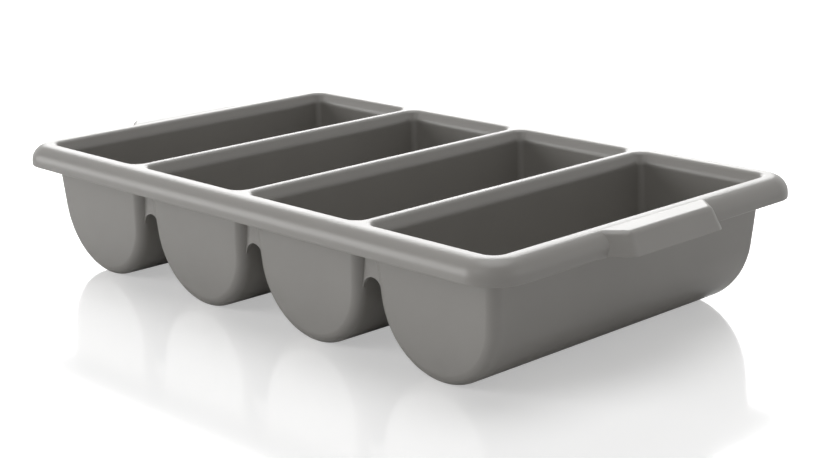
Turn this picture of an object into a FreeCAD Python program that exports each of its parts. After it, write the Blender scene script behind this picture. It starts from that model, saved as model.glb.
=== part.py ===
"""Four-compartment cutlery box, injection moulded in one shot from grey polypropylene.

X runs across the four compartments, Y along them and Z up. The origin is on the
surface that the box stands on, under the middle of the box. Sizes are in millimetres
and degrees.

The real box is a single moulding. Its nodes are the regions that a moulder names:
the rim with its lips, the crests of the three dividers, the four U-shaped troughs,
the webs that close the tunnels under the dividers and the two grips. They meet face
to face, on flat cuts through the wall, and all belong to one rigid body.
"""

import FreeCAD
import Part

import math
import os

import Sketcher

SIZES = {
    "trough_count": 4,
    "trough_radius": 50.0,
    "trough_length": 254.4,
    "foot_width": 12.0,
    "side_draft": 5.0,
    "end_draft": 4.0,
    "corner_radius": 7.5,
    "tunnel_width": 10.05,
    "wall": 2.5,
    "crest_height": 94.0,
    "skirt_height": 15.0,
    "side_shelf": 19.3,
    "end_shelf": 18.2,
    "rim_corner_radius": 25.5,
    "rim_edge_radius": 10.0,
    "lip_height": 7.0,
    "lip_lean": 30.0,
    "crest_radius": 4.5,
    "web_setback": 1.1,
    "arch_height": 56.5,
    "grip_reach": 13.4,
    "grip_face": 87.0,
    "grip_flank": 11.5,
    "grip_lean": 24.0,
    "grip_edge_radius": 3.2,
    "cut_margin": 0.8,
}

LAYOUT = {
    "seat_height": "Sizes.crest_height - Sizes.lip_height",
    "skirt_foot": "Sizes.crest_height - Sizes.skirt_height",
    "arc_centre": "sqrt(pow(Sizes.trough_radius; 2) - pow(Sizes.foot_width / 2; 2))",
    "knee_height": "arc_centre - Sizes.trough_radius * sin(Sizes.side_draft)",
    "knee_half": "Sizes.trough_radius * cos(Sizes.side_draft)",
    "seat_half_x": "knee_half + (seat_height - knee_height) * tan(Sizes.side_draft)",
    "seat_half_y": "Sizes.trough_length / 2 + seat_height * tan(Sizes.end_draft)",
    "flare": "Sizes.lip_height * tan(Sizes.lip_lean)",
    "pitch": "2 * seat_half_x + Sizes.tunnel_width",
    "row_half": "(Sizes.trough_count - 1) / 2 * pitch",
    "rim_half_x": "row_half + seat_half_x + Sizes.end_shelf",
    "rim_half_y": "seat_half_y + Sizes.side_shelf",
    "web_face": "Sizes.trough_length / 2 - Sizes.web_setback",
    "seat_grip": "Sizes.tunnel_width / 2 + Sizes.wall / 2",
    "arch_slope": "tan(Sizes.side_draft)",
    "arch_radius": "(Sizes.tunnel_width / 2 + (seat_height - Sizes.arch_height) * arch_slope) / (1 - arch_slope)",
    "arch_foot": "Sizes.arch_height - arch_radius",
    "arch_grip": "seat_grip + (seat_height - arch_foot) * arch_slope",
    "roof_grip": "seat_grip - (Sizes.lip_height - Sizes.wall) * tan(Sizes.lip_lean)",
    "divider_half": "seat_half_y - Sizes.corner_radius - Sizes.cut_margin",
    "grip_cut_x": "row_half + seat_half_x + flare + Sizes.wall / 2",
    "grip_cut_y": "Sizes.grip_face / 2 + Sizes.grip_flank + Sizes.wall",
}

CORNER_STEPS = 3


def add_sheet(doc, name, cells, mark=""):
    """Write one aliased cell per entry, as plain numbers or, with mark "=", as formulas."""
    sheet = doc.addObject("Spreadsheet::Sheet", name)
    for row, alias in enumerate(cells, start=1):
        sheet.set(f"A{row}", alias)
        sheet.setAlias(f"B{row}", alias)
    for row, value in enumerate(cells.values(), start=1):
        sheet.set(f"B{row}", f"{mark}{value}")
    doc.recompute()
    return sheet


def bind(thing, bindings):
    """Drive properties of an object by expressions on the two sheets."""
    for name, expression in bindings.items():
        thing.setExpression(name, expression)


def new_body(doc, name, placement=None):
    """Start a body, placed by expressions such as {"x": "..."}."""
    body = doc.addObject("PartDesign::Body", name)
    bind(body, {f"Placement.Base.{axis}": rule for axis, rule in (placement or {}).items()})
    return body


def new_sketch(body, name, role, offset=None):
    """Start a sketch on one of the body's own origin planes."""
    sketch = body.newObject("Sketcher::SketchObject", name)
    plane = next(item for item in body.Origin.OriginFeatures if item.Role == role)
    sketch.AttachmentSupport = [(plane, "")]
    sketch.MapMode = "FlatFace"
    bind(sketch, {f"AttachmentOffset.Base.{axis}": rule for axis, rule in (offset or {}).items()})
    body.Document.recompute()
    return sketch


def constrain(sketch, *rules):
    """Add geometric constraints, each a tuple of Sketcher.Constraint arguments."""
    for rule in rules:
        sketch.addConstraint(Sketcher.Constraint(*rule))


def dimension(sketch, label, expression, kind, *elements):
    """Add a dimension that takes its value from an expression."""
    value = float(sketch.evalExpression(expression))
    if kind == "Angle":
        value = math.radians(value)
    index = sketch.addConstraint(Sketcher.Constraint(kind, *elements, value))
    sketch.renameConstraint(index, label)
    unit = " * 1 deg" if kind == "Angle" else ""
    sketch.setExpression(f"Constraints.{label}", f"({expression}){unit}")


def draw_polygon(sketch, corners):
    """Draw a closed outline through corners given as pairs of expressions."""
    first = sketch.GeometryCount
    count = len(corners)
    points = []
    for rule_x, rule_y in corners:
        place = FreeCAD.Vector(float(sketch.evalExpression(rule_x)), float(sketch.evalExpression(rule_y)), 0)
        points.append(place)
    for index in range(count):
        sketch.addGeometry(Part.LineSegment(points[index], points[(index + 1) % count]))
    for index in range(count):
        constrain(sketch, ("Coincident", first + index, 2, first + (index + 1) % count, 1))
    for index, (rule_x, rule_y) in enumerate(corners):
        dimension(sketch, f"x{first + index}", rule_x, "DistanceX", -1, 1, first + index, 1)
        dimension(sketch, f"y{first + index}", rule_y, "DistanceY", -1, 1, first + index, 1)


def draw_rounded_rectangle(sketch, half_x, half_y, radius):
    """Draw a rectangle with rounded corners, centred on the sketch's origin."""
    wide = float(sketch.evalExpression(half_x))
    deep = float(sketch.evalExpression(half_y))
    round_off = float(sketch.evalExpression(radius))
    inner_x = wide - round_off
    inner_y = deep - round_off
    up = FreeCAD.Vector(0, 0, 1)
    quarter = math.pi / 2
    sides = [
        ((-inner_x, -deep), (inner_x, -deep)),
        ((wide, -inner_y), (wide, inner_y)),
        ((inner_x, deep), (-inner_x, deep)),
        ((-wide, inner_y), (-wide, -inner_y)),
    ]
    centres = [(inner_x, -inner_y), (inner_x, inner_y), (-inner_x, inner_y), (-inner_x, -inner_y)]
    for turn in range(4):
        start, end = sides[turn]
        sketch.addGeometry(Part.LineSegment(FreeCAD.Vector(*start, 0), FreeCAD.Vector(*end, 0)))
        circle = Part.Circle(FreeCAD.Vector(*centres[turn], 0), up, round_off)
        sketch.addGeometry(Part.ArcOfCircle(circle, (turn - 1) * quarter, turn * quarter))
    for piece in range(8):
        constrain(sketch, ("Tangent", piece, 2, (piece + 1) % 8, 1))
    constrain(sketch, ("Horizontal", 0), ("Vertical", 2), ("Horizontal", 4), ("Vertical", 6))
    constrain(sketch, ("Equal", 1, 3), ("Equal", 3, 5), ("Equal", 5, 7), ("Symmetric", 3, 3, 7, 3, -1, 1))
    dimension(sketch, "half_x", half_x, "DistanceX", -1, 1, 2, 1)
    dimension(sketch, "half_y", half_y, "DistanceY", -1, 1, 4, 1)
    dimension(sketch, "radius", radius, "Radius", 1)


def edges_of(shape, test):
    """Name the edges of a shape that pass a test on the edge."""
    return [f"Edge{index}" for index, edge in enumerate(shape.Edges, start=1) if test(edge)]


def faces_of(shape, test):
    """Name the faces of a shape that pass a test on the face."""
    return [f"Face{index}" for index, face in enumerate(shape.Faces, start=1) if test(face)]


def at_height(part, height):
    """Tell whether an edge or a face lies in the horizontal plane at a height."""
    box = part.BoundBox
    return abs(box.ZMin - height) < 1e-4 and abs(box.ZMax - height) < 1e-4


def add_fillet(body, name, test, radius):
    """Round the edges of a body's last feature that pass a test."""
    body.Document.recompute()
    base = body.Tip
    fillet = body.newObject("PartDesign::Fillet", name)
    fillet.Base = (base, edges_of(base.Shape, test))
    bind(fillet, {"Radius": radius})
    body.Document.recompute()
    return fillet


def draw_trough_section(sketch, inset):
    """Draw the U of a trough: a round bottom, two leaning sides and the open top.

    The sketch's plane leans as the ends of the trough do, so the top is further up it.
    """
    radius_rule = f"Sizes.trough_radius - {inset}"
    half_rule = f"Layout.seat_half_x - {inset}"
    seat_rule = "Layout.seat_height / cos(Sizes.end_draft)"
    radius = float(sketch.evalExpression(radius_rule))
    half = float(sketch.evalExpression(half_rule))
    seat = float(sketch.evalExpression(seat_rule))
    centre = float(sketch.evalExpression("Layout.arc_centre"))
    draft = math.radians(float(sketch.evalExpression("Sizes.side_draft")))
    knee = FreeCAD.Vector(radius * math.cos(draft), centre - radius * math.sin(draft), 0)
    shoulder = FreeCAD.Vector(half, seat, 0)
    mirrored_knee = FreeCAD.Vector(-knee.x, knee.y, 0)
    mirrored_shoulder = FreeCAD.Vector(-half, seat, 0)
    circle = Part.Circle(FreeCAD.Vector(0, centre, 0), FreeCAD.Vector(0, 0, 1), radius)
    sketch.addGeometry(Part.ArcOfCircle(circle, math.pi + draft, 2 * math.pi - draft))
    sketch.addGeometry(Part.LineSegment(knee, shoulder))
    sketch.addGeometry(Part.LineSegment(shoulder, mirrored_shoulder))
    sketch.addGeometry(Part.LineSegment(mirrored_shoulder, mirrored_knee))
    constrain(
        sketch,
        ("Tangent", 0, 2, 1, 1),
        ("Coincident", 1, 2, 2, 1),
        ("Coincident", 2, 2, 3, 1),
        ("Tangent", 3, 2, 0, 1),
        ("PointOnObject", 0, 3, -2),
        ("Horizontal", 2),
        ("Equal", 1, 3),
    )
    dimension(sketch, "radius", radius_rule, "Radius", 0)
    dimension(sketch, "centre", "Layout.arc_centre", "DistanceY", -1, 1, 0, 3)
    dimension(sketch, "seat", seat_rule, "DistanceY", -1, 1, 1, 2)
    dimension(sketch, "half", half_rule, "DistanceX", -1, 1, 1, 2)


def trough_form(doc, name, placement, inset):
    """Make the solid form of a trough, or with an inset of one wall the space inside it.

    It is lofted from end to end through sections that lean with its ends. Near each end
    the sections shrink along a quarter circle, which rounds the edge of the end wall.
    """
    body = new_body(doc, name, placement)
    round_off = f"(Sizes.corner_radius - {inset})"
    sections = []
    for side in (1, -1):
        steps = range(CORNER_STEPS + 1)
        for step in steps if side < 0 else reversed(steps):
            angle = f"{step} / {CORNER_STEPS} * 90"
            depth = f"{round_off} * (1 - sin({angle}))"
            shrink = f"{round_off} * (1 - cos({angle}))"
            place = f"(Sizes.trough_length / 2 - {inset} - {depth})"
            sketch = new_sketch(body, f"{name}_{len(sections) + 1}", "XZ_Plane", {"z": f"{side} * {place}"})
            sketch.AttachmentOffset = FreeCAD.Placement(FreeCAD.Vector(), FreeCAD.Rotation(FreeCAD.Vector(1, 0, 0), 1))
            bind(sketch, {"AttachmentOffset.Rotation.Angle": f"{side} * Sizes.end_draft * 1 deg"})
            draw_trough_section(sketch, f"({inset} + {shrink})")
            sections.append(sketch)
    loft = body.newObject("PartDesign::AdditiveLoft", f"{name}_loft")
    loft.Profile = sections[0]
    loft.Sections = sections[1:]
    loft.Ruled = True
    doc.recompute()
    return body


def trough(doc, number):
    """Make one trough, with the strip that it stands on cut flat under its round bottom."""
    centre = f"({number} - 1) * Layout.pitch - Layout.row_half"
    form = trough_form(doc, f"trough_form_{number}", {"x": centre}, "0")
    ground = new_sketch(form, f"trough_ground_{number}", "XY_Plane")
    draw_rounded_rectangle(ground, "Sizes.foot_width", "Layout.seat_half_y", "Sizes.corner_radius")
    foot = form.newObject("PartDesign::Pocket", f"trough_foot_{number}")
    foot.Profile = ground
    foot.Type = "ThroughAll"
    doc.recompute()
    space = trough_form(doc, f"trough_space_{number}", {"x": centre}, "Sizes.wall")
    return cut(doc, f"trough_{number}", form, space)


def rim_slab(doc, name, inset):
    """Make the solid form of the rim, or with an inset of one wall the hollow under it."""
    body = new_body(doc, name)
    plan = new_sketch(body, f"{name}_plan", "XY_Plane", {"z": "Layout.skirt_foot"})
    draw_rounded_rectangle(
        plan,
        f"Layout.rim_half_x - {inset}",
        f"Layout.rim_half_y - {inset}",
        f"Sizes.rim_corner_radius - {inset}",
    )
    pad = body.newObject("PartDesign::Pad", f"{name}_pad")
    pad.Profile = plan
    bind(pad, {"Length": f"Sizes.skirt_height - {inset}"})
    doc.recompute()
    top = float(body.evalExpression(f"Sizes.crest_height - {inset}"))
    add_fillet(body, f"{name}_round", lambda edge: at_height(edge, top), f"Sizes.rim_edge_radius - {inset}")
    return body


def grip_form(doc, name, side, inset):
    """Make the bulge of one grip, or with an inset of one wall the finger space in it.

    The bulge is a block whose face and two flanks lean inwards from its foot upwards. Its
    flanks run on into the rim until they vanish in the rounded edge.
    """
    body = new_body(doc, name)
    turn = "" if side > 0 else "-"
    lean_inset = f"({inset} / cos(Sizes.grip_lean))"
    flank_slope = "(Sizes.grip_flank / Sizes.grip_reach)"
    flank_inset = f"({lean_inset} * (sqrt(1 + pow({flank_slope}; 2)) - {flank_slope}))"
    root = "(Layout.rim_half_x - 2 * Sizes.rim_edge_radius)"
    tip = f"(Layout.rim_half_x + Sizes.grip_reach - {lean_inset})"
    tip_half = f"(Sizes.grip_face / 2 - {flank_inset})"
    root_half = f"({tip_half} + ({tip} - {root}) * {flank_slope})"
    plan = new_sketch(body, f"{name}_plan", "XY_Plane", {"z": "Layout.skirt_foot"})
    corners = [
        (f"{turn}{root}", f"-{root_half}"),
        (f"{turn}{tip}", f"-{tip_half}"),
        (f"{turn}{tip}", tip_half),
        (f"{turn}{root}", root_half),
    ]
    draw_polygon(plan, corners)
    pad = body.newObject("PartDesign::Pad", f"{name}_pad")
    pad.Profile = plan
    bind(pad, {"Length": f"Sizes.skirt_height - {inset}"})
    doc.recompute()
    inner = float(body.evalExpression(root))
    foot = float(body.evalExpression("Layout.skirt_foot"))
    upright = faces_of(pad.Shape, lambda face: abs(face.CenterOfMass.x) > inner and face.BoundBox.ZLength > 0.1)
    draft = body.newObject("PartDesign::Draft", f"{name}_draft")
    draft.Base = (pad, upright)
    draft.NeutralPlane = (pad, faces_of(pad.Shape, lambda face: at_height(face, foot)))
    bind(draft, {"Angle": "Sizes.grip_lean * 1 deg"})
    doc.recompute()
    return body


def grip_block(doc, name, side):
    """Make the bulge of one grip, with its upright corners and its top edge rounded."""
    body = grip_form(doc, name, side, "0")
    root = float(body.evalExpression("Layout.rim_half_x - Sizes.rim_edge_radius"))
    foot = float(body.evalExpression("Layout.skirt_foot"))
    add_fillet(
        body,
        f"{name}_rounding",
        lambda edge: abs(edge.CenterOfMass.x) > root and not at_height(edge, foot),
        "Sizes.grip_edge_radius",
    )
    return body


def fuse(doc, name, shapes):
    """Join several objects into one."""
    joined = doc.addObject("Part::MultiFuse", name)
    joined.Shapes = shapes
    doc.recompute()
    return joined


def cut(doc, name, base, tool):
    """Take one object away from another."""
    left = doc.addObject("Part::Cut", name)
    left.Base = base
    left.Tool = tool
    doc.recompute()
    return left


def common(doc, name, base, tool):
    """Keep what two objects share."""
    shared = doc.addObject("Part::Common", name)
    shared.Base = base
    shared.Tool = tool
    doc.recompute()
    return shared


def add_loft(body, name, kind, levels):
    """Add or cut a ruled loft through rounded rectangles over the first trough.

    Each level is a height with the half sizes and the corner radius there. The loft is
    repeated over every trough.
    """
    sketches = []
    for number, (height, half_x, half_y, radius) in enumerate(levels, start=1):
        offset = {"x": "-Layout.row_half", "z": height}
        sketch = new_sketch(body, f"{name}_level_{number}", "XY_Plane", offset)
        draw_rounded_rectangle(sketch, half_x, half_y, radius)
        sketches.append(sketch)
    loft = body.newObject(f"PartDesign::{kind}", f"{name}_loft")
    loft.Profile = sketches[0]
    loft.Sections = sketches[1:]
    loft.Ruled = True
    body.Document.recompute()
    row = body.newObject("PartDesign::LinearPattern", f"{name}_row")
    row.Originals = [loft]
    row.Direction = (sketches[0], ["H_Axis"])
    bind(row, {"Length": "2 * Layout.row_half", "Occurrences": "Sizes.trough_count"})
    body.Tip = row
    body.Document.recompute()
    return row


def lip_levels(inset):
    """List the foot and the crest of a lip, or with an inset of one wall those of its mouth."""
    foot = ("Layout.seat_height", "Layout.seat_half_x", "Layout.seat_half_y", "Sizes.corner_radius")
    crest = ("Sizes.crest_height", *(f"({size} + Layout.flare)" for size in foot[1:]))
    return [(height, *(f"{size} - {inset}" for size in sizes)) for height, *sizes in (foot, crest)]


def outline_test(rim, level):
    """Make a test for edges that lie on the outline of a level, round any trough."""
    height, half_x, half_y, radius = (float(rim.evalExpression(rule)) for rule in level)
    row_half = float(rim.evalExpression("Layout.row_half"))
    pitch = float(rim.evalExpression("Layout.pitch"))
    count = int(rim.evalExpression("Sizes.trough_count"))
    centres = [number * pitch - row_half for number in range(count)]

    def lies_on(edge):
        if not at_height(edge, height):
            return False
        middle = edge.valueAt((edge.FirstParameter + edge.LastParameter) / 2)
        for centre in centres:
            side = abs(middle.x - centre) - (half_x - radius)
            end = abs(middle.y) - (half_y - radius)
            gap = math.hypot(max(side, 0), max(end, 0)) + min(max(side, end), 0) - radius
            if abs(gap) < 1e-3:
                return True
        return False

    return lies_on


def rim_master(doc):
    """Make the whole rim with its grips and lips, before it is divided."""
    blocks = [rim_slab(doc, "rim_slab", "0")]
    spaces = [rim_slab(doc, "rim_hollow", "Sizes.wall")]
    for side, word in ((-1, "left"), (1, "right")):
        blocks.append(grip_block(doc, f"grip_block_{word}", side))
        spaces.append(grip_form(doc, f"grip_space_{word}", side, "Sizes.wall"))
    block = fuse(doc, "rim_block", blocks)
    space = fuse(doc, "rim_space", spaces)
    rim = new_body(doc, "rim_master")
    rim.BaseFeature = cut(doc, "rim_shell", block, space)
    doc.recompute()
    add_loft(rim, "lip", "AdditiveLoft", lip_levels("0"))
    mouth = lip_levels("Sizes.wall")
    add_loft(rim, "mouth", "SubtractiveLoft", mouth)
    add_fillet(rim, "crest_round", outline_test(rim, mouth[-1]), "Sizes.crest_radius")
    return rim


def zone(doc, name, placement, sizes):
    """Make a box of space, placed by its low corner, that marks out a region of the moulding."""
    box = doc.addObject("Part::Box", name)
    bind(box, {f"Placement.Base.{axis}": rule for axis, rule in zip("xyz", placement)})
    bind(box, dict(zip(("Length", "Width", "Height"), sizes)))
    doc.recompute()
    return box


def divide_rim(doc, rim):
    """Divide the rim into its grips, its divider crests and the frame round them."""
    regions = []
    zones = []
    low = "Layout.seat_height - Sizes.skirt_height"
    high = "Sizes.lip_height + 2 * Sizes.skirt_height"
    for side, word in ((-1, "left"), (1, "right")):
        reach = "(Layout.rim_half_x + Sizes.grip_reach + Sizes.wall)"
        start = "Layout.grip_cut_x" if side > 0 else f"-{reach}"
        where = (start, "-Layout.grip_cut_y", low)
        extent = (f"{reach} - Layout.grip_cut_x", "2 * Layout.grip_cut_y", high)
        space = zone(doc, f"grip_zone_{word}", where, extent)
        zones.append(space)
        regions.append(common(doc, f"grip_{word}", rim, space))
    for number in range(1, int(rim.evalExpression("Sizes.trough_count"))):
        middle = f"(({number} - 0.5) * Layout.pitch - Layout.row_half)"
        half = "(Sizes.tunnel_width / 2 + Sizes.wall + Sizes.lip_height)"
        where = (f"{middle} - {half}", "-Layout.divider_half", low)
        extent = (f"2 * {half}", "2 * Layout.divider_half", high)
        space = zone(doc, f"divider_zone_{number}", where, extent)
        zones.append(space)
        regions.append(common(doc, f"divider_{number}", rim, space))
    regions.append(cut(doc, "rim_frame", rim, fuse(doc, "rim_zones", zones)))
    return regions


def web(doc, name, number, side, obstacles):
    """Make the plate that closes one end of a tunnel, with the arch cut in its foot.

    The plate is drawn half a wall wider than the gap on each side, and the troughs and
    the rim then trim it to their own surfaces.
    """
    body = new_body(doc, f"{name}_plate", {"x": f"({number} - 0.5) * Layout.pitch - Layout.row_half"})
    outer = "Layout.web_face" if side < 0 else "Sizes.wall - Layout.web_face"
    outline = new_sketch(body, f"{name}_outline", "XZ_Plane", {"z": outer})
    half = [
        ("Layout.arch_grip", "Layout.arch_foot"),
        ("Layout.seat_grip", "Layout.seat_height"),
        ("Layout.roof_grip", "Sizes.crest_height - Sizes.wall"),
    ]
    mirrored = [(f"-{rule_x}", rule_z) for rule_x, rule_z in reversed(half)]
    draw_polygon(outline, half + mirrored)
    pad = body.newObject("PartDesign::Pad", f"{name}_pad")
    pad.Profile = outline
    pad.Reversed = True
    bind(pad, {"Length": "Sizes.wall"})
    doc.recompute()
    arch = new_sketch(body, f"{name}_arch", "XZ_Plane", {"z": outer})
    centre = FreeCAD.Vector(0, float(body.evalExpression("Layout.arch_foot")), 0)
    radius = float(body.evalExpression("Layout.arch_radius"))
    arch.addGeometry(Part.Circle(centre, FreeCAD.Vector(0, 0, 1), radius))
    constrain(arch, ("PointOnObject", 0, 3, -2))
    dimension(arch, "foot", "Layout.arch_foot", "DistanceY", -1, 1, 0, 3)
    dimension(arch, "radius", "Layout.arch_radius", "Radius", 0)
    opening = body.newObject("PartDesign::Pocket", f"{name}_opening")
    opening.Profile = arch
    bind(opening, {"Length": "Sizes.wall"})
    doc.recompute()
    return cut(doc, name, body, obstacles)


def main():
    """Build the document and write one STEP file for each region of the moulding."""
    doc = FreeCAD.newDocument("cutlery_box")
    sizes = add_sheet(doc, "Sizes", SIZES)
    add_sheet(doc, "Layout", LAYOUT, "=")
    count = int(sizes.trough_count)
    troughs = [trough(doc, number) for number in range(1, count + 1)]
    rim = rim_master(doc)
    regions = divide_rim(doc, rim) + troughs
    limits = fuse(doc, "web_limits", [rim] + [item.Base for item in troughs])
    for side, word in ((-1, "front"), (1, "back")):
        for number in range(1, count):
            regions.append(web(doc, f"web_{word}_{number}", number, side, limits))
    for item in doc.Objects:
        if "Invalid" in item.State or "Error" in item.State:
            raise RuntimeError(f"{item.Name} did not build: {item.State}")
    os.makedirs("parts", exist_ok=True)
    for region in regions:
        shape = region.Shape
        if shape.isNull() or not shape.isValid():
            raise RuntimeError(f"{region.Label} has no valid shape")
        shape.exportStep(f"parts/{region.Label}.step")
        print(f"{region.Label}: {len(shape.Solids)} solid, {shape.Volume / 1000:.1f} cm3")


main()
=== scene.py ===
"""Looks for a four-compartment cutlery box, one moulding in grey polypropylene.

The box is shaped again as one skin without seams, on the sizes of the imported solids:
a rim block with its two grips is hollowed from below, four U-shaped troughs and the
webs between them are added, and the four compartments are cut out from above with
their rounded lips. All sizes are in metres, save the camera's lens and sensor, and all
angles are in radians.
"""

import logging
from collections.abc import Callable, Iterator, Mapping, Sequence
from contextlib import contextmanager
from dataclasses import dataclass
from enum import Enum
from math import cos, hypot, pi, radians, sin, sqrt, tan

import bmesh
import bpy
from mathutils import Matrix, Vector

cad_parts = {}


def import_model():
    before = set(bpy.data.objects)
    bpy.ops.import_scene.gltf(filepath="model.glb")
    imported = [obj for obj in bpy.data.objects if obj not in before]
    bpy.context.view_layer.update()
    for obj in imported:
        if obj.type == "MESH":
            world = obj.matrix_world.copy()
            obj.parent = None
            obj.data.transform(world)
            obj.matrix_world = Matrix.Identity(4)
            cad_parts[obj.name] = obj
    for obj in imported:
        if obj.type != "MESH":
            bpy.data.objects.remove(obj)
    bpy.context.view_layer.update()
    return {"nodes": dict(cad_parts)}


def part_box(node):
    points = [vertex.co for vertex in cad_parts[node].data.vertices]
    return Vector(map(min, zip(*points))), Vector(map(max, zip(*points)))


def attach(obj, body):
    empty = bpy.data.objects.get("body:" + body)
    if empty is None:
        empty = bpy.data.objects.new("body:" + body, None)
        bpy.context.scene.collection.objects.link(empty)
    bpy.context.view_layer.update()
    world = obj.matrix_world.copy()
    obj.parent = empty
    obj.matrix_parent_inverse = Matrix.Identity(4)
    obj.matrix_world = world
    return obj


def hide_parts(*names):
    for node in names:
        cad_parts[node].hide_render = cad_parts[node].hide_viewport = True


LOG = logging.getLogger("cutlery_box")
MM = 0.001
WHITE = (1, 1, 1, 1)

# Points nearer than a hair are one point, and within a touch a point lies in a plane.
HAIR = 0.001 * MM
TOUCH = 0.01 * MM

# On a face that lies level, at least this share of the normal is upright.
LEVEL = 0.99


class Joining(Enum):
    """How a second form changes a first one."""

    ADD = "UNION"
    TAKE_AWAY = "DIFFERENCE"


class Pick(Enum):
    """What the tools act on in a form that is being shaped.

    Its values are the tools' select modes, and its names are what the bevel tool rounds.
    """

    VERTICES = "VERT"
    EDGES = "EDGE"
    FACES = "FACE"


class Bench:
    """The hand tools that every form is shaped with."""

    # The bevel tool's setting for a rounding that is part of a circle.
    ROUND = 0.5

    @staticmethod
    def take(*forms: bpy.types.Object) -> None:
        """Select these forms alone.

        Args:
            forms: The forms, of which the first one becomes the active one.
        """
        bpy.ops.object.select_all(action="DESELECT")
        for form in forms:
            form.select_set(True)
        bpy.context.view_layer.objects.active = forms[0]

    @staticmethod
    def name(form_name: str) -> bpy.types.Object:
        """Name the form that was just added and put its place into its mesh.

        Args:
            form_name: The name of the form.

        Returns:
            The form.
        """
        form = bpy.context.active_object
        form.name = form_name
        form.data.name = form_name
        Bench.take(form)
        bpy.ops.object.transform_apply(location=True, rotation=True, scale=True)
        return form

    @staticmethod
    @contextmanager
    def shaping(form: bpy.types.Object) -> Iterator[None]:
        """Open a form for shaping, with no face picked, and close it afterwards.

        Args:
            form: The form to shape.

        Returns:
            A context that lasts while the form is open.
        """
        Bench.take(form)
        bpy.ops.object.mode_set(mode="EDIT")
        bpy.ops.mesh.select_all(action="DESELECT")
        bpy.ops.mesh.select_mode(type=Pick.FACES.value)
        yield
        bpy.ops.object.mode_set(mode="OBJECT")

    @staticmethod
    def choose(pick: Pick, test: Callable[[object], bool]) -> None:
        """Pick the edges or faces that pass a test, and nothing else.

        Args:
            pick: Whether edges or faces are picked.
            test: Tells whether one part is wanted, by its place or normal.
        """
        bpy.ops.mesh.select_all(action="DESELECT")
        bpy.ops.mesh.select_mode(type=pick.value)
        data = bpy.context.edit_object.data
        mesh = bmesh.from_edit_mesh(data)
        parts = mesh.faces if pick is Pick.FACES else mesh.edges
        for part in filter(test, parts):
            part.select_set(True)
        mesh.select_flush_mode()
        bmesh.update_edit_mesh(data)

    @staticmethod
    def slice_off(point: Sequence[float], normal: Sequence[float]) -> None:
        """Cut away what lies beyond a plane and close the cut with one face."""
        bpy.ops.mesh.select_all(action="SELECT")
        bpy.ops.mesh.bisect(
            plane_co=point, plane_no=normal, use_fill=True, clear_outer=True, threshold=HAIR
        )

    @staticmethod
    def round_off(radius: float, steps: int, rounded: Pick = Pick.EDGES) -> None:
        """Round what is picked to a radius.

        Args:
            radius: The radius of the rounding.
            steps: How many straight steps it gets.
            rounded: Whether edges are rounded or, in a flat outline, the vertices.
        """
        bpy.ops.mesh.bevel(
            offset=radius,
            offset_type="OFFSET",
            segments=steps,
            profile=Bench.ROUND,
            affect=rounded.name,
            clamp_overlap=False,
        )

    @staticmethod
    def extrude(move: Sequence[float]) -> None:
        """Extrude what is picked along a vector."""
        bpy.ops.mesh.extrude_region_move(TRANSFORM_OT_translate={"value": move})

    @staticmethod
    def stretch(factors: Sequence[float], centre: Sequence[float]) -> None:
        """Resize what is picked about a point."""
        bpy.ops.transform.resize(value=factors, center_override=centre)

    @staticmethod
    def face_outwards() -> None:
        """Turn all faces of the open form outwards."""
        bpy.ops.mesh.select_all(action="SELECT")
        bpy.ops.mesh.normals_make_consistent(inside=False)

    @staticmethod
    def combine(base: bpy.types.Object, tool: bpy.types.Object, joining: Joining) -> None:
        """Add a form to the base form, or take it away from it, and use it up.

        Args:
            base: The form that changes.
            tool: The form that is added or taken away.
            joining: Which of the two is done.
        """
        Bench.take(base)
        change = base.modifiers.new(tool.name, "BOOLEAN")
        change.operation = joining.value
        change.solver = "EXACT"
        change.object = tool
        bpy.ops.object.modifier_apply(modifier=change.name)
        bpy.data.objects.remove(tool)
        with Bench.shaping(base):
            bpy.ops.mesh.select_all(action="SELECT")
            bpy.ops.mesh.remove_doubles(threshold=HAIR)


def turn_between(
    corner: tuple[float, float], before: float, after: float, radius: float, steps: int
) -> list[tuple[float, float]]:
    """Work out a rounding of a profile that leans outwards more and more as it rises.

    Args:
        corner: The sharp corner, as its reach outwards and its height.
        before: The lean of the profile below the corner, off the vertical.
        after: The lean of the profile above the corner.
        radius: The radius of the rounding.
        steps: How many straight steps it gets.

    Returns:
        The points of the rounding from its foot upwards, as pairs like the corner.
    """
    run = radius * tan((after - before) / 2)
    start = (corner[0] - run * sin(before), corner[1] - run * cos(before))
    centre = (start[0] + radius * cos(before), start[1] - radius * sin(before))
    leans = [before + (after - before) * step / steps for step in range(steps + 1)]
    return [(centre[0] - radius * cos(lean), centre[1] + radius * sin(lean)) for lean in leans]


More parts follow.
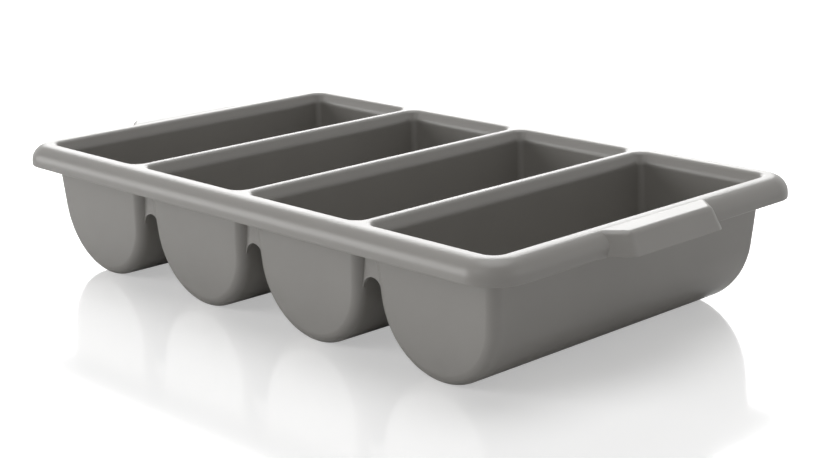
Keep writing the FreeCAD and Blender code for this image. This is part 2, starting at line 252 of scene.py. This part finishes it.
@dataclass(frozen=True)
class Trough:
    """One U-shaped trough, with the lip that joins it to the rim.

    Its forms are solid: with no inset the outside of the trough, and with an inset of
    one wall the space inside it.
    """

    centre_x: float
    seat: float
    half_length: float
    crest: float
    wall: float
    radius: float = 50 * MM
    foot_width: float = 12 * MM
    side_draft: float = radians(5)
    end_draft: float = radians(4)
    corner_radius: float = 7.5 * MM
    corner_steps: int = 8
    round_parts: int = 144
    lip_lean: float = radians(30)
    lip_foot_radius: float = 9 * MM
    lip_foot_steps: int = 4
    crest_radius: float = 4.5 * MM
    crest_steps: int = 10
    band: float = 2.6 * MM
    clearance: float = 6 * MM

    @property
    def arc_centre(self) -> float:
        """Height of the centre of the round bottom."""
        return sqrt(self.radius**2 - (self.foot_width / 2) ** 2)

    def knee(self, inset: float) -> float:
        """Height at which the round bottom runs on into the straight sides."""
        return self.arc_centre - (self.radius - inset) * sin(self.side_draft)

    def half_width(self, height: float, inset: float) -> float:
        """Half the width between the straight sides at a height."""
        round_half = (self.radius - inset) * cos(self.side_draft)
        return round_half + (height - self.knee(inset)) * tan(self.side_draft)

    def half_span(self, height: float, inset: float) -> float:
        """Half the length between the end walls at a height."""
        return self.half_length - (self.seat - height) * tan(self.end_draft) - inset

    def tub(self, name: str, inset: float) -> bpy.types.Object:
        """Shape the trough up to a little below the foot of its lip, open at the top.

        Args:
            name: The name of the form.
            inset: How far the form stands inside the trough's outer surface.

        Returns:
            The form.
        """
        knee = self.knee(inset)
        top = self.seat - 2 * self.band
        middle = (self.centre_x, 0, top)
        bpy.ops.mesh.primitive_cylinder_add(
            vertices=self.round_parts,
            radius=self.radius - inset,
            depth=2 * (self.half_length + self.wall),
            location=(self.centre_x, 0, self.arc_centre),
            rotation=(pi / 2, 0, 0),
        )
        form = Bench.name(name)
        with Bench.shaping(form):
            Bench.slice_off((self.centre_x, 0, knee), (0, 0, 1))
            Bench.choose(Pick.FACES, lambda face: face.normal.z > LEVEL)
            Bench.extrude((0, 0, top - knee))
            Bench.stretch((self.half_width(top, inset) / self.half_width(knee, inset), 1, 1), middle)
            for side in (-1, 1):
                foot = (self.centre_x, side * self.half_span(0, inset), 0)
                Bench.slice_off(foot, (0, side * cos(self.end_draft), -sin(self.end_draft)))
            Bench.choose(Pick.EDGES, lambda edge: self._bounds_an_end(edge, inset, top))
            Bench.round_off(self.corner_radius - inset, self.corner_steps)
            if inset == 0:
                Bench.slice_off((self.centre_x, 0, 0), (0, 0, -1))
            Bench.choose(Pick.FACES, lambda face: face.normal.z > LEVEL)
            bpy.ops.mesh.delete(type="FACE")
        return form

    def _bounds_an_end(self, edge: bmesh.types.BMEdge, inset: float, top: float) -> bool:
        """Tell whether an edge lies round an end wall, below the open top.

        Args:
            edge: The edge.
            inset: How far the form stands inside the trough's outer surface.
            top: The height of the open top.

        Returns:
            Whether it does.
        """
        first, second = (vertex.co for vertex in edge.verts)
        on_end = all(abs(abs(co.y) - self.half_span(co.z, inset)) < TOUCH for co in (first, second))
        return on_end and first.y * second.y > 0 and min(first.z, second.z) < top - TOUCH

    def lip_profile(self, inset: float) -> list[tuple[float, float]]:
        """Work out the section of the lip, from the wall below it up to its crest.

        Args:
            inset: How far the form stands inside the trough's outer surface.

        Returns:
            Pairs of the reach outwards from the foot of the lip and the height.
        """
        flare = (self.crest - self.seat) * tan(self.lip_lean)
        below = (-self.band * tan(self.side_draft), self.seat - self.band)
        if inset == 0:
            under = self.crest - self.wall / 2
            return [below, (0, self.seat), ((under - self.seat) * tan(self.lip_lean), under)]
        lean = self.lip_lean
        foot = turn_between(
            (0, self.seat), self.side_draft, lean, self.lip_foot_radius, self.lip_foot_steps
        )
        crest = turn_between((flare, self.crest), lean, pi / 2, self.crest_radius, self.crest_steps)
        return [below, *foot, *crest]

    def mouth(self, name: str, inset: float) -> bpy.types.Object:
        """Shape the lip from its crest down to the wall, closed at the top.

        Args:
            name: The name of the form.
            inset: How far the form stands inside the trough's outer surface.

        Returns:
            The form, open at its foot.
        """
        levels = list(reversed(self.lip_profile(inset)))
        reach, top = levels[0]
        half_x = self.half_width(self.seat, inset) + reach
        half_y = self.half_span(self.seat, inset) + reach
        bpy.ops.mesh.primitive_plane_add(size=2, location=(self.centre_x, 0, top))
        form = Bench.name(name)
        with Bench.shaping(form):
            bpy.ops.mesh.select_all(action="SELECT")
            Bench.stretch((half_x, half_y, 1), (self.centre_x, 0, top))
            Bench.round_off(self.corner_radius - inset + reach, self.corner_steps, Pick.VERTICES)
            Bench.choose(Pick.FACES, lambda face: True)
            for (outer, upper), (inner, lower) in zip(levels, levels[1:]):
                bpy.ops.mesh.inset(thickness=outer - inner, depth=lower - upper)
            bpy.ops.mesh.delete(type="FACE")
            Bench.choose(Pick.EDGES, lambda edge: edge.is_boundary and edge.verts[0].co.z > self.seat)
            bpy.ops.mesh.edge_face_add()
            if inset > 0:
                Bench.extrude((0, 0, self.clearance))
        return form

    def form(self, name: str, inset: float) -> bpy.types.Object:
        """Join a tub to its mouth, as one closed form.

        Args:
            name: The name of the form.
            inset: How far the form stands inside the trough's outer surface.

        Returns:
            The form.
        """
        tub = self.tub(name, inset)
        mouth = self.mouth(f"{name}_mouth", inset)
        Bench.take(tub, mouth)
        bpy.ops.object.join()
        with Bench.shaping(tub):
            Bench.choose(Pick.EDGES, lambda edge: edge.is_boundary)
            bpy.ops.mesh.bridge_edge_loops()
            Bench.face_outwards()
        return tub


@dataclass(frozen=True)
class Rim:
    """The rim's block with its grips, and the hollow under it."""

    half_x: float
    half_y: float
    foot: float
    crest: float
    wall: float
    grip_tip: float
    corner_radius: float = 25.5 * MM
    corner_steps: int = 14
    edge_radius: float = 11.8 * MM
    edge_steps: int = 12
    hem_radius: float = 0.8 * MM
    hem_steps: int = 3
    grip_root: float = 20 * MM
    grip_face: float = 87 * MM
    grip_flank: float = 11.5 * MM
    grip_lean: float = radians(24)
    grip_edge_radius: float = 3.2 * MM
    grip_edge_steps: int = 5
    clearance: float = 6 * MM

    def slab(self, name: str, inset: float) -> bpy.types.Object:
        """Shape the rounded slab of the rim, or with an inset the hollow under it.

        It reaches below the skirt's foot, where it is cut off later.

        Args:
            name: The name of the form.
            inset: How far the form stands inside the rim's outer surface.

        Returns:
            The form.
        """
        low = self.foot - self.clearance
        high = self.crest - inset
        middle = (0, 0, (low + high) / 2)
        bpy.ops.mesh.primitive_cube_add(size=2, location=middle)
        form = Bench.name(name)
        with Bench.shaping(form):
            bpy.ops.mesh.select_all(action="SELECT")
            Bench.stretch((self.half_x - inset, self.half_y - inset, (high - low) / 2), middle)
            Bench.choose(Pick.EDGES, lambda edge: abs(edge.verts[0].co.z - edge.verts[1].co.z) > self.wall)
            Bench.round_off(self.corner_radius - inset, self.corner_steps)
            Bench.choose(Pick.EDGES, lambda edge: all(v.co.z > high - TOUCH for v in edge.verts))
            Bench.round_off(self.edge_radius - inset, self.edge_steps)
        return form

    def grip(self, name: str, side: int, inset: float) -> bpy.types.Object:
        """Shape the block of one grip, or with an inset the finger space in it.

        Its face and flanks lean inwards as they rise. The flanks run slanting into the
        rim, and its root lies hidden in the rim's slab.

        Args:
            name: The name of the form.
            side: 1 for the right end and -1 for the left end.
            inset: How far the form stands inside the grip's outer surface.

        Returns:
            The form.
        """
        low = self.foot - self.clearance
        high = self.crest - inset
        slope = self.grip_flank / (self.grip_tip - self.half_x)
        offset = (self.foot - low) * tan(self.grip_lean) - inset / cos(self.grip_lean)
        root = self.half_x - self.grip_root
        tip = self.grip_tip + offset
        flank = offset * hypot(1, slope)
        tip_half = self.grip_face / 2 - offset * slope + flank
        root_half = self.grip_face / 2 + (self.grip_tip - root) * slope + flank
        middle = (side * (root + tip) / 2, 0, low)
        bpy.ops.mesh.primitive_plane_add(size=2, location=middle)
        form = Bench.name(name)
        with Bench.shaping(form):
            bpy.ops.mesh.select_all(action="SELECT")
            Bench.stretch(((tip - root) / 2, root_half, 1), middle)
            Bench.choose(Pick.EDGES, lambda edge: all(side * v.co.x > tip - TOUCH for v in edge.verts))
            Bench.stretch((1, tip_half / root_half, 1), (side * tip, 0, low))
            Bench.choose(Pick.FACES, lambda face: True)
            bpy.ops.mesh.inset(thickness=(high - low) * tan(self.grip_lean), depth=high - low)
            Bench.choose(Pick.EDGES, lambda edge: edge.is_boundary)
            bpy.ops.mesh.edge_face_add()
            Bench.face_outwards()
            if inset == 0:
                hidden = self.half_x - self.edge_radius
                Bench.choose(Pick.EDGES, lambda edge: self._shows(edge, side * hidden, low))
                Bench.round_off(self.grip_edge_radius, self.grip_edge_steps)
        return form

    @staticmethod
    def _shows(edge: bmesh.types.BMEdge, hidden: float, low: float) -> bool:
        """Tell whether an edge of a grip shows and isn't at its foot."""
        reaches_out = any(v.co.x / hidden > 1 for v in edge.verts)
        return reaches_out and any(v.co.z > low + TOUCH for v in edge.verts)

    def shell(self) -> bpy.types.Object:
        """Make the rim with its grips, rounded at its hem and hollow underneath.

        Returns:
            The form.
        """
        rim = self.slab("rim", 0)
        for side, word in ((-1, "left"), (1, "right")):
            Bench.combine(rim, self.grip(f"grip_{word}", side, 0), Joining.ADD)
        with Bench.shaping(rim):
            Bench.slice_off((0, 0, self.foot), (0, 0, -1))
            Bench.choose(Pick.EDGES, self._is_hem)
            Bench.round_off(self.hem_radius, self.hem_steps)
        Bench.combine(rim, self.slab("rim_hollow", self.wall), Joining.TAKE_AWAY)
        for side, word in ((-1, "left"), (1, "right")):
            Bench.combine(rim, self.grip(f"finger_space_{word}", side, self.wall), Joining.TAKE_AWAY)
        return rim

    def _is_hem(self, edge: bmesh.types.BMEdge) -> bool:
        """Tell whether an edge lies round the foot of the skirt."""
        at_foot = all(v.co.z < self.foot + TOUCH for v in edge.verts)
        return at_foot and any(face.normal.z > -LEVEL for face in edge.link_faces)


@dataclass(frozen=True)
class Web:
    """The plate that closes one end of the tunnel between two troughs."""

    centre_x: float
    face_y: float
    thickness: float
    arch_foot: float
    arch_radius: float
    top: float
    arch_parts: int = 72

    def form(self, name: str) -> bpy.types.Object:
        """Shape the plate, with the arch cut in its foot.

        Args:
            name: The name of the form.

        Returns:
            The form.
        """
        middle = (self.centre_x, self.face_y, (self.arch_foot + self.top) / 2)
        half = self.arch_radius + self.thickness / 2
        bpy.ops.mesh.primitive_cube_add(size=2, location=middle)
        plate = Bench.name(name)
        with Bench.shaping(plate):
            bpy.ops.mesh.select_all(action="SELECT")
            Bench.stretch((half, self.thickness / 2, (self.top - self.arch_foot) / 2), middle)
        bpy.ops.mesh.primitive_cylinder_add(
            vertices=self.arch_parts,
            radius=self.arch_radius,
            depth=3 * self.thickness,
            location=(self.centre_x, self.face_y, self.arch_foot),
            rotation=(pi / 2, 0, 0),
        )
        Bench.combine(plate, Bench.name(f"{name}_arch"), Joining.TAKE_AWAY)
        return plate


@dataclass
class Moulding:
    """The whole box as one skin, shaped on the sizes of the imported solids."""

    count: int = 4
    arch_top: float = 56.5 * MM
    stray_gap: float = 0.005 * MM
    sharp_angle: float = radians(32)

    def __post_init__(self) -> None:
        """Read the sizes that the solids give."""
        self.rim_low, self.rim_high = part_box("rim_frame")
        self.web_low, self.web_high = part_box("web_front_1")
        self.wall = self.web_high.y - self.web_low.y
        self.troughs = [self._trough(number) for number in range(1, self.count + 1)]

    def _trough(self, number: int) -> Trough:
        """Take the place and size of one trough from its node."""
        low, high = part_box(f"trough_{number}")
        return Trough(
            centre_x=(low.x + high.x) / 2,
            seat=high.z,
            half_length=high.y,
            crest=self.rim_high.z,
            wall=self.wall,
        )

    def _rim(self) -> Rim:
        """Take the place and size of the rim from its nodes."""
        return Rim(
            half_x=self.rim_high.x,
            half_y=self.rim_high.y,
            foot=self.rim_low.z,
            crest=self.rim_high.z,
            wall=self.wall,
            grip_tip=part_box("grip_right")[1].x,
        )

    def _webs(self) -> Iterator[Web]:
        """List the webs at both ends of each tunnel.

        Returns:
            The webs from left to right, at each tunnel first the front one.
        """
        front = (self.web_low.y + self.web_high.y) / 2
        for left, right in zip(self.troughs, self.troughs[1:]):
            for face_y in (front, -front):
                yield Web(
                    centre_x=(left.centre_x + right.centre_x) / 2,
                    face_y=face_y,
                    thickness=self.wall,
                    arch_foot=self.web_low.z,
                    arch_radius=self.arch_top - self.web_low.z,
                    top=self.rim_high.z - self.wall / 2,
                )

    def build(self) -> bpy.types.Object:
        """Put the forms together into one skin.

        Returns:
            The finished piece.
        """
        skin = self._rim().shell()
        for number, trough in enumerate(self.troughs, start=1):
            Bench.combine(skin, trough.form(f"trough_form_{number}", 0), Joining.ADD)
        for number, web in enumerate(self._webs(), start=1):
            Bench.combine(skin, web.form(f"web_form_{number}"), Joining.ADD)
        for number, trough in enumerate(self.troughs, start=1):
            Bench.combine(skin, trough.form(f"compartment_{number}", self.wall), Joining.TAKE_AWAY)
        self._smooth(skin)
        skin.name = "moulded_box"
        skin.data.name = "moulded_box"
        return skin

    def _smooth(self, skin: bpy.types.Object) -> None:
        """Merge stray points and let flat faces keep flat shading beside their roundings.

        Args:
            skin: The finished piece.
        """
        with Bench.shaping(skin):
            bpy.ops.mesh.select_all(action="SELECT")
            bpy.ops.mesh.remove_doubles(threshold=self.stray_gap)
            bpy.ops.mesh.dissolve_degenerate(threshold=self.stray_gap)
        Bench.take(skin)
        bpy.ops.object.shade_smooth_by_angle(angle=self.sharp_angle)
        weighting = skin.modifiers.new("flat_faces_first", "WEIGHTED_NORMAL")
        weighting.mode = "FACE_AREA"
        weighting.keep_sharp = True
        bpy.ops.object.modifier_apply(modifier=weighting.name)


class Wiring:
    """The node tree of a finish or of the surroundings."""

    def __init__(self, tree: bpy.types.NodeTree) -> None:
        """Start with an empty tree."""
        self.tree = tree
        tree.nodes.clear()

    def node(
        self, kind: str, settings: Mapping[str, object], sockets: Mapping[str | int, object]
    ) -> bpy.types.Node:
        """Add a node.

        Args:
            kind: The node's type.
            settings: Its own settings, which are set first.
            sockets: A value, a socket or a signal for each socket that isn't left alone.

        Returns:
            The node.
        """
        added = self.tree.nodes.new(kind)
        for name, value in settings.items():
            setattr(added, name, value)
        for name, value in sockets.items():
            source = value.socket if isinstance(value, Signal) else value
            if isinstance(source, bpy.types.NodeSocket):
                self.tree.links.new(source, added.inputs[name])
            else:
                added.inputs[name].default_value = source
        return added

    def signal(
        self, kind: str, settings: Mapping[str, object], sockets: Mapping[str | int, object], output: str
    ) -> "Signal":
        """Add a node and wrap one of its outputs, so that maths can be written on it."""
        return Signal(self, self.node(kind, settings, sockets).outputs[output])


@dataclass(frozen=True)
class Signal:
    """A number that changes over a surface or from ray to ray."""

    wiring: Wiring
    socket: bpy.types.NodeSocket

    def _maths(self, operation: str, first: object, second: object) -> "Signal":
        """Add one step of maths."""
        settings = {"operation": operation}
        return self.wiring.signal("ShaderNodeMath", settings, {0: first, 1: second}, "Value")

    def __add__(self, other: object) -> "Signal":
        """Add a number or signal."""
        return self._maths("ADD", self, other)

    __radd__ = __add__

    def __sub__(self, other: object) -> "Signal":
        """Subtract a number or signal."""
        return self._maths("SUBTRACT", self, other)

    def __rsub__(self, other: object) -> "Signal":
        """Subtract this signal from a number."""
        return self._maths("SUBTRACT", other, self)

    def __mul__(self, other: object) -> "Signal":
        """Multiply by a number or signal."""
        return self._maths("MULTIPLY", self, other)

    __rmul__ = __mul__

    def __or__(self, other: object) -> "Signal":
        """Take the larger of two signals."""
        return self._maths("MAXIMUM", self, other)


@dataclass(frozen=True)
class GreyPolypropylene:
    """Satin grey polypropylene, as it comes out of a finely blasted mould."""

    colour: tuple[float, float, float] = (0.304, 0.292, 0.274)
    cloud_size: float = 45 * MM
    cloud_detail: float = 2
    cloud_strength: float = 0.05
    grain_size: float = 0.6 * MM
    grain_detail: float = 3
    grain_depth: float = 0.02 * MM
    roughness: float = 0.32
    roughness_spread: float = 0.08
    refraction: float = 1.49

    def material(self) -> bpy.types.Material:
        """Make the material.

        Returns:
            The material.
        """
        material = bpy.data.materials.new("grey_polypropylene")
        material.use_nodes = True
        wiring = Wiring(material.node_tree)
        place = wiring.node("ShaderNodeTexCoord", {}, {}).outputs["Object"]
        clouds = self._noise(wiring, place, self.cloud_size, self.cloud_detail)
        grain = self._noise(wiring, place, self.grain_size, self.grain_detail)
        darker = (*(part * (1 - self.cloud_strength) for part in self.colour), 1)
        lighter = (*(part * (1 + self.cloud_strength) for part in self.colour), 1)
        tint = wiring.node("ShaderNodeMix", {"data_type": "RGBA"}, {0: clouds, 6: darker, 7: lighter})
        relief = {"Strength": 1, "Distance": self.grain_depth, "Height": grain}
        sockets = {
            "Base Color": tint.outputs[2],
            "Roughness": self.roughness + self.roughness_spread * (clouds - 0.5),
            "IOR": self.refraction,
            "Normal": wiring.node("ShaderNodeBump", {}, relief).outputs["Normal"],
        }
        surface = wiring.node("ShaderNodeBsdfPrincipled", {}, sockets)
        wiring.node("ShaderNodeOutputMaterial", {}, {"Surface": surface.outputs["BSDF"]})
        return material

    @staticmethod
    def _noise(wiring: Wiring, place: bpy.types.NodeSocket, size: float, detail: float) -> Signal:
        """Add cloudy noise whose features have a given size."""
        sockets = {"Vector": place, "Scale": 1 / size, "Detail": detail}
        return wiring.signal("ShaderNodeTexNoise", {}, sockets, "Fac")


@dataclass(frozen=True)
class Softbox:
    """One large soft lamp, as far away as a sun.

    Its azimuth runs from +X towards +Y, and its spread is how wide it looks.
    """

    name: str
    strength: float
    spread: float
    azimuth: float
    elevation: float

    def hang(self) -> None:
        """Hang the lamp, turned towards the box."""
        data = bpy.data.lights.new(self.name, "SUN")
        data.energy = self.strength
        data.angle = self.spread
        lamp = bpy.data.objects.new(self.name, data)
        level = cos(self.elevation)
        towards = Vector((cos(self.azimuth) * level, sin(self.azimuth) * level, sin(self.elevation)))
        lamp.rotation_euler = towards.to_track_quat("Z", "Y").to_euler()
        bpy.context.scene.collection.objects.link(lamp)
        LOG.info("%s: %.2f W on each square metre", self.name, self.strength)


@dataclass(frozen=True)
class Studio:
    """The pale floor, the white surroundings, the soft light and the camera.

    The camera's lens and sensor are in millimetres.
    """

    sky_level: float = 0.1
    floor_colour: float = 0.8
    floor_shown: float = 0.85
    floor_glow: float = 0.42
    floor_gloss: float = 0.24
    floor_roughness: float = 0.1
    floor_size: float = 12.0
    lamps: tuple[Softbox, ...] = (
        Softbox("softbox_above", 1.22, radians(50), radians(120), radians(80)),
        Softbox("softbox_left", 1.1, radians(35), radians(225), radians(10)),
        Softbox("softbox_front", 0.25, radians(35), radians(270), radians(45)),
        Softbox("softbox_back", 1.15, radians(40), radians(137), radians(24)),
        Softbox("softbox_right", 0.14, radians(35), radians(30), radians(20)),
    )
    camera_place: tuple[float, float, float] = (882.98 * MM, -826.57 * MM, 368.42 * MM)
    azimuth: float = radians(46.049)
    elevation: float = radians(15.16)
    roll: float = radians(-1.083)
    lens: float = 75.0
    sensor: float = 36.0

    def surround(self) -> None:
        """Light the scene dimly from all sides, and show white to the camera and in reflections."""
        world = bpy.data.worlds.new("white_room")
        world.use_nodes = True
        wiring = Wiring(world.node_tree)
        path = wiring.node("ShaderNodeLightPath", {}, {})
        camera, glossy, clear = (
            Signal(wiring, path.outputs[f"Is {kind} Ray"]) for kind in ("Camera", "Glossy", "Transmission")
        )
        seen = camera | glossy | clear
        strength = self.sky_level + (1 - self.sky_level) * seen
        sky = wiring.node("ShaderNodeBackground", {}, {"Color": WHITE, "Strength": strength})
        wiring.node("ShaderNodeOutputWorld", {}, {"Surface": sky.outputs["Background"]})
        bpy.context.scene.world = world

    def lay_floor(self) -> None:
        """Lay a glossy white floor that keeps the object's shadow."""
        bpy.ops.mesh.primitive_plane_add(size=self.floor_size)
        floor = Bench.name("floor")
        material = bpy.data.materials.new("white_floor")
        material.use_nodes = True
        wiring = Wiring(material.node_tree)
        seen = wiring.signal("ShaderNodeLightPath", {}, {}, "Is Camera Ray")
        level = self.floor_colour + (self.floor_shown - self.floor_colour) * seen
        tone = wiring.node("ShaderNodeCombineColor", {}, {"Red": level, "Green": level, "Blue": level})
        matt = wiring.node("ShaderNodeBsdfDiffuse", {}, {"Color": tone.outputs["Color"]})
        mirror = {"Color": WHITE, "Roughness": self.floor_roughness}
        gloss = wiring.node("ShaderNodeBsdfAnisotropic", {}, mirror)
        layers = {0: self.floor_gloss, 1: matt.outputs["BSDF"], 2: gloss.outputs["BSDF"]}
        mixed = wiring.node("ShaderNodeMixShader", {}, layers)
        glow = wiring.node("ShaderNodeEmission", {}, {"Color": WHITE, "Strength": self.floor_glow * seen})
        parts = {0: mixed.outputs["Shader"], 1: glow.outputs["Emission"]}
        lit = wiring.node("ShaderNodeAddShader", {}, parts)
        wiring.node("ShaderNodeOutputMaterial", {}, {"Surface": lit.outputs["Shader"]})
        floor.data.materials.append(material)
        LOG.info("%s: %.0f m square", floor.name, self.floor_size)

    def set_camera(self) -> None:
        """Stand the camera where the photograph was taken from.

        Its azimuth runs from -Y towards +X.
        """
        back = Vector(
            (
                sin(self.azimuth) * cos(self.elevation),
                -cos(self.azimuth) * cos(self.elevation),
                sin(self.elevation),
            )
        )
        level = Vector((cos(self.azimuth), sin(self.azimuth), 0))
        upright = back.cross(level)
        right = cos(self.roll) * level + sin(self.roll) * upright
        up = cos(self.roll) * upright - sin(self.roll) * level
        data = bpy.data.cameras.new("camera")
        data.lens = self.lens
        data.sensor_width = self.sensor
        camera = bpy.data.objects.new("camera", data)
        turned = Matrix((right, up, back)).transposed().to_4x4()
        camera.matrix_world = Matrix.Translation(self.camera_place) @ turned
        bpy.context.scene.collection.objects.link(camera)
        bpy.context.scene.camera = camera


def main() -> None:
    """Build the box, dress it and set up the studio round it."""
    logging.basicConfig(level=logging.INFO, format="%(name)s: %(message)s")
    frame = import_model()
    bpy.context.scene.view_settings.view_transform = "Standard"
    studio = Studio()
    studio.surround()
    studio.lay_floor()
    for lamp in studio.lamps:
        lamp.hang()
    studio.set_camera()
    skin = Moulding().build()
    skin.data.materials.clear()
    skin.data.materials.append(GreyPolypropylene().material())
    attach(skin, "root")
    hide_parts(*frame["nodes"])
    LOG.info("%s: %d faces", skin.name, len(skin.data.polygons))


if __name__ == "__main__":
    main()
